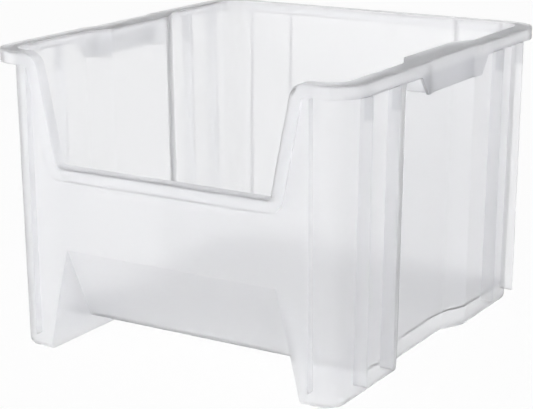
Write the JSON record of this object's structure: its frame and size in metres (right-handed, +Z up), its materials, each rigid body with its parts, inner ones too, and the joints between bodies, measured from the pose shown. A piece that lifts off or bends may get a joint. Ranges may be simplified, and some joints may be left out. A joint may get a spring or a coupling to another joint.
{
  "type": "stackable open-front storage bin",
  "caption": "Translucent moulded storage bin with a wide front mouth, rolled rim, recessed side grips and raised floor, made to stack on another bin of its kind",
  "frame": {"origin": "middle of the footprint at the height of the resting surface, centred under the rim", "axes": "+Z up, -Y towards the open front, +X to the right as seen from the front"},
  "size_m": [0.419, 0.4444, 0.316],
  "materials": {
    "bin": "satin"
  },
  "bodies": {
    "root": {"back_rim": "bin", "back_stacking_ribs": "bin", "back_wall": "bin", "base_skirt": "bin", "floor_panel": "bin", "front_apron": "bin", "front_ramp": "bin", "front_stacking_ribs": "bin", "hopper_lip": "bin", "left_foot_inner_wall": "bin", "left_front_foot_sole": "bin", "left_front_post": "bin", "left_front_side_ribs": "bin", "left_front_side_wall": "bin", "left_grip_skirt": "bin", "left_grip_webs": "bin", "left_mouth_lip": "bin", "left_rear_post": "bin", "left_rear_side_ribs": "bin", "left_rear_side_wall": "bin", "left_recess_flanks": "bin", "left_recess_panel": "bin", "left_side_rim": "bin", "right_foot_inner_wall": "bin", "right_front_foot_sole": "bin", "right_front_post": "bin", "right_front_side_ribs": "bin", "right_front_side_wall": "bin", "right_grip_skirt": "bin", "right_grip_webs": "bin", "right_mouth_lip": "bin", "right_rear_post": "bin", "right_rear_side_ribs": "bin", "right_rear_side_wall": "bin", "right_recess_flanks": "bin", "right_recess_panel": "bin", "right_side_rim": "bin"}
  },
  "joints": []
}
